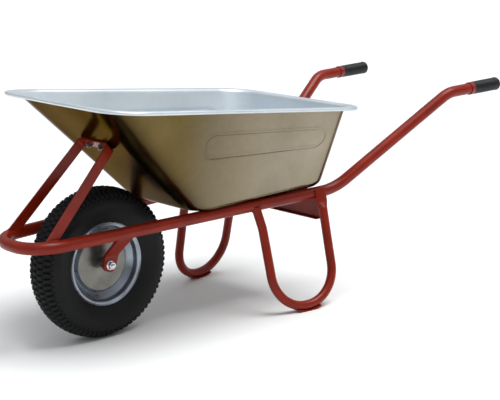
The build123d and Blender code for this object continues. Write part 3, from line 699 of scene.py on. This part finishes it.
def makeTray():
    t = trayShape
    low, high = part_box("tray")
    bead = t["bead"]
    length = (high.x - low.x) / mm - 2 * bead
    rimTilt = math.atan2(t["rearDrop"], length)
    rimTop = high.z / mm - low.z / mm
    up = Vector((-math.sin(rimTilt), 0, math.cos(rimTilt)))

    def rimPoint(p):  # p is in plan along the slanting rim, x from the rear end of the rolled edge
        return Vector((p.x, p.y, rimTop - (length - p.x) * math.tan(rimTilt)))

    edge = roundedOutline(length, 0, t["halfFront"], t["halfRear"], t["cornerFront"], t["cornerRear"])
    walls = roundedOutline(
        length - t["ledgeFront"], t["ledgeRear"], t["halfFront"] - t["ledgeSide"],
        t["halfRear"] - t["ledgeSide"], t["wallCornerFront"], t["wallCornerRear"],
    )
    floor = roundedOutline(
        t["floorFront"] - bead, t["floorRear"] - bead, t["floorHalfFront"], t["floorHalfRear"],
        t["floorCorner"], t["floorCorner"],
    )
    columns = [
        trayLine(floorPoint(f.x, f.y), rimPoint(w), rimPoint(e), up) for f, w, e in zip(floor, walls, edge)
    ]
    rings = [list(ring) for ring in zip(*columns)]
    pressWalls(rings, length)
    origin = Vector((low.x / mm + bead, 0, low.z / mm))
    vertices = [(origin + point) * mm for ring in rings for point in ring]
    faces = gridFaces(len(rings), len(columns))
    faces.append(tuple(range(len(columns) - 1, -1, -1)))
    finish = [zincOutside, zincInside]
    tray = makePiece("trayShell", vertices, faces, finish, "frame", "galvanised_sheet", ["tray"])
    shell = tray.modifiers.new("sheet", "SOLIDIFY")  # the surface is the outside, and the sheet goes inwards
    shell.thickness = t["sheet"] * mm
    shell.offset = -1
    shell.material_offset = 1


makeTray()
print("stage 4: tray made")


# weld beads: rippled MIG beads, laid where rays from the joint meet the frame tube

weldBead = {
    "radius": 2.1 * mm, "ripple": 2.6 * mm, "rippleShare": 0.16, "step": 0.65 * mm, "sides": 8,
    "endShare": 0.25,
}
weldPlaces = {  # splay is in degrees, lean is a slope, around is a count
    "reach": 80 * mm, "legRadius": 12.5 * mm, "splay": 13.2, "lean": 0.14, "around": 40,
    "legAhead": 0.5 * mm, "legIn": 8.5 * mm, "legDown": 22 * mm, "legBack": 14 * mm, "legReach": 50 * mm,
    "lapFore": 38.2 * mm, "lapAft": 0.2 * mm, "lapFrom": 26 * mm, "lapTo": 8 * mm, "lapOut": 300 * mm,
    "bracketFrom": 2 * mm, "bracketTo": 52 * mm, "bracketOut": 1.2 * mm, "bracketDown": 45 * mm,
    "braceOuter": 1.6 * mm, "braceInner": -8.4 * mm, "braceFrom": 36 * mm, "braceTo": 1 * mm,
    "braceUp": 50 * mm,
}
tubeMesh = nodes["frame_tube"].data
tubeSurface = BVHTree.FromPolygons(
    [v.co for v in tubeMesh.vertices], [p.vertices for p in tubeMesh.polygons],
)


def onTube(starts, direction, reach=weldPlaces["reach"]):
    hits = [tubeSurface.ray_cast(start, direction, reach)[0] for start in starts]
    return [hit for hit in hits if hit]


def makeWeld(name, path):
    b = weldBead
    points = [path[0]]
    for point in path[1:]:
        gap = (point - points[-1]).length
        for k in range(int(gap / b["step"])):
            points.append(points[-1] + (point - points[-1]).normalized() * b["step"])
    vertices = []
    for i, point in enumerate(points):
        along = (points[min(i + 1, len(points) - 1)] - points[max(i - 1, 0)]).normalized()
        across = along.cross(Vector((0.3, 0.5, 0.81))).normalized()  # any direction no weld runs in
        upwards = along.cross(across)
        fromEnd = min(i, len(points) - 1 - i) * b["step"] / (2 * b["radius"])
        wave = 1 + b["rippleShare"] * math.sin(math.tau * i * b["step"] / b["ripple"])
        taper = b["endShare"] + (1 - b["endShare"]) * math.sqrt(min(fromEnd, 1))
        size = b["radius"] * wave * taper
        for k in range(b["sides"]):
            angle = math.tau * k / b["sides"]
            vertices.append(point + (across * math.cos(angle) + upwards * math.sin(angle)) * size)
    faces = gridFaces(len(points), b["sides"]) + endCaps(len(vertices), b["sides"])
    makePiece(name, vertices, faces, [red], "frame", "red_paint")


def spaced(start, end, count=14):
    return [start.lerp(end, k / (count - 1)) for k in range(count)]


def legWelds(word, side):
    w = weldPlaces
    low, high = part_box(word + "_leg")
    inner = low.y if side > 0 else high.y
    top = Vector((high.x - w["legRadius"] - w["legAhead"], inner + side * w["legIn"], high.z - w["legDown"]))
    rise = Vector((w["lean"], -side * math.tan(math.radians(w["splay"])), 1)).normalized()
    across = rise.cross(Vector((1, 0, 0))).normalized()
    ahead = across.cross(rise)
    start = top - rise * w["legBack"]
    runs = [[]]
    hits = []
    for k in range(w["around"] + 1):
        angle = math.tau * k / w["around"]
        point = start + (ahead * math.cos(angle) + across * math.sin(angle)) * w["legRadius"]
        hits.append(tubeSurface.ray_cast(point, rise, w["legReach"])[0])
    for hit in hits:
        if hit:
            runs[-1].append(hit)
        elif runs[-1]:
            runs.append([])
    if len(runs) > 1 and hits[0] and hits[-1]:
        runs[0] = runs.pop() + runs[0]
    makeWeld(word + "LegFrontWeld", max(runs, key=len))
    for edge, x in (("Fore", low.x + w["lapFore"]), ("Aft", low.x + w["lapAft"])):
        line = spaced(
            Vector((x, side * w["lapOut"], high.z - w["lapFrom"])),
            Vector((x, side * w["lapOut"], high.z - w["lapTo"])), 8,
        )
        makeWeld(word + "Lap" + edge + "Weld", onTube(line, Vector((0, -side, 0)), w["lapOut"]))


def bracketWeld(word, side):
    w = weldPlaces
    low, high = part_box(word + "_axle_bracket")
    y = (high.y if side > 0 else low.y) + side * w["bracketOut"]
    z = high.z - w["bracketDown"]
    line = spaced(Vector((low.x + w["bracketFrom"], y, z)), Vector((low.x + w["bracketTo"], y, z)))
    makeWeld(word + "BracketWeld", onTube(line, Vector((0, 0, 1))))


def braceWelds(word, side):
    w = weldPlaces
    low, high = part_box("front_brace")
    for edge, offset in (("Outer", w["braceOuter"]), ("Inner", w["braceInner"])):
        y = side * (high.y + offset)
        z = low.z + w["braceUp"]
        line = spaced(Vector((high.x - w["braceFrom"], y, z)), Vector((high.x - w["braceTo"], y, z)))
        makeWeld(word + "Brace" + edge + "Weld", onTube(line, Vector((0, 0, -1))))


for word, side in (("left", 1), ("right", -1)):
    legWelds(word, side)
    bracketWeld(word, side)
    braceWelds(word, side)
print("stage 5: welds laid")


# axle fasteners: flanged hexagons with their corners turned off, and a thread end

hexNut = {
    "across": 18 * mm, "flange": 12.8 * mm, "flangeHeight": 2.4 * mm, "flangeEdge": 0.5 * mm,
    "flangeLip": 0.4 * mm, "flangeSlope": 1.0 * mm, "flangeChamfer": 1.6 * mm, "neck": 0.3 * mm,
    "chamfer": 1.6 * mm, "crownShare": 0.93, "faceShare": 0.72, "turns": 5, "roundness": 1.6,
}
axleBolt = {
    "headHeight": 8 * mm, "radius": 5.9 * mm, "threadLength": 24 * mm, "pitch": 1.75 * mm,
    "threadDepth": 0.7 * mm, "end": 1 * mm, "sides": 32,
}


def turned(rows, start, axis, sides=60):  # a row: distance along the axis, radius, and across flats or 0
    side = axis.orthogonal().normalized()
    up = axis.cross(side)
    vertices = []
    for along, radius, across in rows:
        for k in range(sides):
            angle = math.tau * k / sides
            size = radius
            if across:
                toFlat = (angle + math.pi / 6) % (math.pi / 3) - math.pi / 6
                size = min(radius, across / 2 / math.cos(toFlat))
            vertices.append(start + axis * along + (side * math.cos(angle) + up * math.sin(angle)) * size)
    return vertices, gridFaces(len(rows), sides) + endCaps(len(vertices), sides)


def hexRows(height):
    h = hexNut
    across = h["across"]
    rim = h["flange"]
    top = h["flangeHeight"]
    corner = across / 2 / math.cos(math.pi / 6)
    crown = across / 2 * h["crownShare"]
    shoulder = height - h["chamfer"]
    rows = [(0, rim - h["flangeEdge"], 0), (h["flangeLip"], rim, 0), (top - h["flangeSlope"], rim, 0)]
    rows += [(top, rim - h["flangeChamfer"], 0), (top + h["neck"], corner, across)]
    rows.append((shoulder, corner, across))
    for k in range(1, h["turns"] + 1):
        s = k / h["turns"]
        rows.append((shoulder + h["chamfer"] * s, corner - (corner - crown) * s ** h["roundness"], across))
    rows.append((height, across / 2 * h["faceShare"], 0))
    return rows


def makeAxleFasteners():
    b = axleBolt
    nutLow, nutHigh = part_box("axle_nut")
    boltLow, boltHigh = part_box("axle_bolt")
    centre = middle("axle_nut")
    front = Vector((centre.x, nutLow.y, centre.z))
    back = Vector((centre.x, boltLow.y + b["headHeight"], centre.z))
    left = Vector((0, 1, 0))
    length = boltHigh.y - back.y
    thread = length - b["threadLength"]
    rows = [(0, b["radius"], 0), (thread, b["radius"], 0)]
    while thread < length - 2 * b["pitch"]:
        rows.append((thread + 0.5 * b["pitch"], b["radius"] - b["threadDepth"], 0))
        rows.append((thread + b["pitch"], b["radius"], 0))
        thread += b["pitch"]
    rows += [(length - b["end"], b["radius"], 0), (length, b["radius"] - b["end"], 0)]
    nut = turned(hexRows(nutHigh.y - nutLow.y), front, left)
    head = turned(hexRows(b["headHeight"]), back, -left)
    shank = turned(rows, back, left, b["sides"])
    makePiece("chamferedAxleNut", *nut, [plate], "frame", "zinc_plate", ["axle_nut"], smooth=False)
    makePiece("chamferedAxleHead", *head, [plate], "frame", "zinc_plate", smooth=False)
    makePiece("axleShank", *shank, [plate], "frame", "zinc_plate", ["axle_bolt"])


makeAxleFasteners()
print("stage 6: axle fasteners made")


# grips: soft sleeves with shallow rings and a flared, rounded end

gripShape = {
    "axis": (-100, 2, 1), "radius": 18.4 * mm, "bore": 16.1 * mm, "mouthDepth": 3 * mm, "lip": 0.2 * mm,
    "mouthEdge": 0.9 * mm, "flare": 0.8 * mm, "ringPitch": 5.2 * mm, "ringDepth": 0.7 * mm,
    "steps": 150, "sides": 56,
    "plainStart": 12 * mm, "plainEnd": 18 * mm, "ringRamp": 6 * mm, "flareFrom": 13 * mm,
    "flareRamp": 7 * mm, "barrel": 0.25 * mm, "start": 0.012, "body": 0.93, "crownFrom": 0.942,
    "crownInset": 0.14, "crownSteps": 8, "endRadius": 4 * mm, "shorter": 1.0 * mm,
}


def makeGrip(word):
    g = gripShape
    low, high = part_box(word + "_grip")
    side = 1 if low.y > 0 else -1
    back, out, up = g["axis"]
    axis = Vector((back, side * out, up)).normalized()
    length = high.x - low.x - g["shorter"]
    start = (low + high) / 2 - axis * length / 2 - Vector((0, side, 1)) * g["flare"] / 2
    base = g["radius"]
    rows = [(g["mouthDepth"], g["bore"], 0), (g["lip"], g["bore"], 0), (g["lip"], base - g["mouthEdge"], 0)]
    for k in range(g["steps"] + 1):
        at = length * (g["start"] + g["body"] * k / g["steps"])
        ringed = ease((at - g["plainStart"]) / g["ringRamp"])
        ringed *= ease((length - g["plainEnd"] - at) / g["ringRamp"])
        groove = max(0, math.cos(math.tau * at / g["ringPitch"])) ** 2
        flare = g["flare"] * ease((at - length + g["flareFrom"]) / g["flareRamp"])
        barrel = g["barrel"] * math.sin(math.pi * at / length)
        rows.append((at, base + barrel + flare - g["ringDepth"] * groove * ringed, 0))
    crown = base + g["flare"]
    for k in range(1, g["crownSteps"] + 1):
        angle = math.pi / 2 * k / g["crownSteps"]
        at = length * (g["crownFrom"] + (1 - g["crownFrom"]) * math.sin(angle))
        rows.append((at, crown * (1 - g["crownInset"] * (1 - math.cos(angle))), 0))
    rows.append((length, g["endRadius"], 0))
    sleeve = turned(rows, start, axis, g["sides"])
    makePiece(word + "SoftGrip", *sleeve, [gripBlack], "frame", "grip_rubber", [word + "_grip"])


makeGrip("left")
makeGrip("right")
print("stage 7: grips made")


# camera, lights and floor

cameraPlace = {
    "fromAxle": (2.0724, 3.0036, 1.0069), "yaw": 40.797, "pitch": 13.222, "roll": -1.619, "lens": 103.8,
    "shift": (0.0036, -0.0008),
}
studio = {
    "floorHalf": 30, "floorColour": "f4f4f2", "skyLow": "8d8577", "skyLowAt": 0.02, "skyHigh": "eef4fb",
    "skyHighAt": 0.75, "skyStrength": 0.75, "backdrop": (1.4, 1.4, 1.4, 1.0),
    "boxPlace": (0.0, 0.4, 2.8), "boxSize": (2.6, 1.6), "boxPower": 22, "boxColour": "f2f7ff",
    "sunStrength": 2.1, "sunSpread": 35, "sunTilt": (-14, -12),
}


def makeCamera():
    yaw, pitch, roll = (math.radians(cameraPlace[k]) for k in ("yaw", "pitch", "roll"))
    ahead = Vector((-math.sin(yaw) * math.cos(pitch), -math.cos(yaw) * math.cos(pitch), -math.sin(pitch)))
    level = Vector((-math.cos(yaw), math.sin(yaw), 0))
    above = level.cross(ahead)
    right = level * math.cos(roll) + above * math.sin(roll)
    top = above * math.cos(roll) - level * math.sin(roll)
    data = bpy.data.cameras.new("camera")
    data.lens = cameraPlace["lens"]
    data.sensor_width = 36
    data.shift_x, data.shift_y = cameraPlace["shift"]
    data.clip_end = 100
    camera = bpy.data.objects.new("camera", data)
    turn = Matrix((right, top, -ahead)).transposed().to_4x4()
    camera.matrix_world = Matrix.Translation(middle("tyre") + Vector(cameraPlace["fromAxle"])) @ turn
    bpy.context.scene.collection.objects.link(camera)
    bpy.context.scene.camera = camera


def makeFloor():
    mesh = bpy.data.meshes.new("floor")
    size = studio["floorHalf"]
    corners = [(-size, -size, 0), (size, -size, 0), (size, size, 0), (-size, size, 0)]
    mesh.from_pydata(corners, [], [(0, 1, 2, 3)])
    mesh.materials.append(startMaterial("paleStudioFloor", studio["floorColour"], 0.0, 0.9)[0])
    floor = bpy.data.objects.new("floor", mesh)
    bpy.context.scene.collection.objects.link(floor)


def makeSky():  # surfaces reflect a soft ramp, and the camera sees plain white behind the object
    world = bpy.data.worlds.new("studio")
    world.use_nodes = True
    tree = world.node_tree
    sky = addNode(tree, "ShaderNodeTexCoord").outputs["Generated"]
    height = addNode(tree, "ShaderNodeSeparateXYZ", {"Vector": sky}).outputs["Z"]
    ramp = addNode(tree, "ShaderNodeValToRGB", {"Fac": height})
    lowest, highest = ramp.color_ramp.elements
    lowest.position = studio["skyLowAt"]
    lowest.color = linearColour(studio["skyLow"])
    highest.position = studio["skyHighAt"]
    highest.color = linearColour(studio["skyHigh"])
    direct = addNode(tree, "ShaderNodeLightPath").outputs["Is Camera Ray"]
    seen = addNode(
        tree, "ShaderNodeMix", {"Factor": direct, 6: ramp.outputs["Color"], 7: studio["backdrop"]},
        data_type="RGBA",
    )
    tree.links.new(seen.outputs[2], tree.nodes["Background"].inputs["Color"])
    tree.nodes["Background"].inputs["Strength"].default_value = studio["skyStrength"]
    bpy.context.scene.world = world
    bpy.context.scene.view_settings.view_transform = "Standard"


def makeLights():
    data = bpy.data.lights.new("overheadBox", "AREA")
    data.shape = "RECTANGLE"
    data.size, data.size_y = studio["boxSize"]
    data.energy = studio["boxPower"]
    data.color = linearColour(studio["boxColour"])[:3]
    box = bpy.data.objects.new("overheadBox", data)
    box.location = studio["boxPlace"]
    box.rotation_euler = (middle("tray") - Vector(studio["boxPlace"])).to_track_quat("-Z", "Y").to_euler()
    bpy.context.scene.collection.objects.link(box)
    data = bpy.data.lights.new("softSun", "SUN")
    data.energy = studio["sunStrength"]
    data.angle = math.radians(studio["sunSpread"])
    sun = bpy.data.objects.new("softSun", data)
    sun.rotation_euler = (math.radians(studio["sunTilt"][0]), math.radians(studio["sunTilt"][1]), 0)
    bpy.context.scene.collection.objects.link(sun)


makeCamera()
makeFloor()
makeSky()
makeLights()
print("stage 8: camera and studio made")
